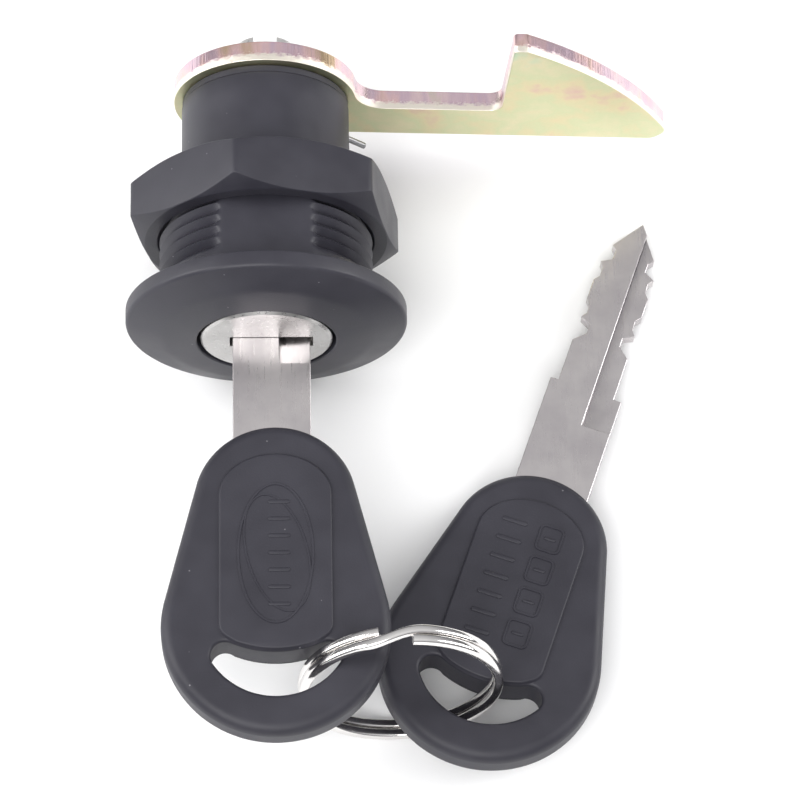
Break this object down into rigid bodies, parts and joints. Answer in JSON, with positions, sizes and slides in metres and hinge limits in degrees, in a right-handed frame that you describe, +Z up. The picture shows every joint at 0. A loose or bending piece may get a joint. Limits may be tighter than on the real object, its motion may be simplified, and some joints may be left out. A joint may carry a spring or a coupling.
{
  "type": "cam lock",
  "caption": "Panel cam lock with a round flange, threaded body with flats, hex nut, spring-return hooked cam, and two plastic-bowed keys on a split ring.",
  "frame": {"origin": "on the lock's axis, in the flange's back face where the panel sits", "axes": "+Y along the lock's axis from the key side to the cam, +X along the cam's arm, +Z up as the lock lies on a table with the keyway level"},
  "size_m": [0.0572, 0.0765, 0.0288],
  "materials": {
    "black_nylon": "satin moulded nylon",
    "key_plastic": "fine-textured moulded plastic",
    "nickel_zinc": "satin nickel plate on die-cast zinc",
    "yellow_zinc": "yellow iridescent zinc plate",
    "nickel_blade": "satin nickel-plated brass",
    "polished_ring": "bright nickel",
    "spring_wire": "drawn wire",
    "wafer_brass": "stamped"
  },
  "bodies": {
    "housing": {"housing": "black_nylon", "rear_bush": "black_nylon", "torsion_spring": "spring_wire"},
    "nut": {"hex_nut": "black_nylon"},
    "plug": {"plug": "nickel_zinc", "cam": "yellow_zinc", "wafer_1": "wafer_brass", "wafer_2": "wafer_brass", "wafer_3": "wafer_brass", "wafer_4": "wafer_brass", "wafer_5": "wafer_brass", "wafer_spring_1": "spring_wire", "wafer_spring_2": "spring_wire", "wafer_spring_3": "spring_wire", "wafer_spring_4": "spring_wire", "wafer_spring_5": "spring_wire"},
    "key_1": {"key_1_blade": "nickel_blade", "key_1_bow": "key_plastic"},
    "ring": {"key_ring": "polished_ring"},
    "key_2": {"key_2_blade": "nickel_blade", "key_2_bow": "key_plastic"}
  },
  "joints": [
    {"name": "plug_turn", "type": "hinge", "parent": "housing", "child": "plug", "pos_m": [0, 0, 0], "axis": [0, 1, 0], "range_deg": [0, 90], "stiffness_Nm_per_rad": 0.02, "springref_deg": -28.65, "deforming": ["torsion_spring"]},
    {"name": "nut_turn", "type": "hinge", "parent": "housing", "child": "nut", "pos_m": [0, 0, 0], "axis": [0, 1, 0], "continuous": true},
    {"name": "key_slide", "type": "slide", "parent": "plug", "child": "key_1", "axis": [0, -1, 0], "range_m": [0, 0.032]},
    {"name": "ring_swing", "type": "hinge", "parent": "key_1", "child": "ring", "pos_m": [0.00435, -0.03856, 0], "axis": [0.0515, -0.9835, 0.1736], "range_deg": [0, 40]},
    {"name": "key_2_swing", "type": "hinge", "parent": "ring", "child": "key_2", "pos_m": [0.02113, -0.03938, -0.0096], "axis": [0, 0, 1], "range_deg": [-10, 10]}
  ]
}
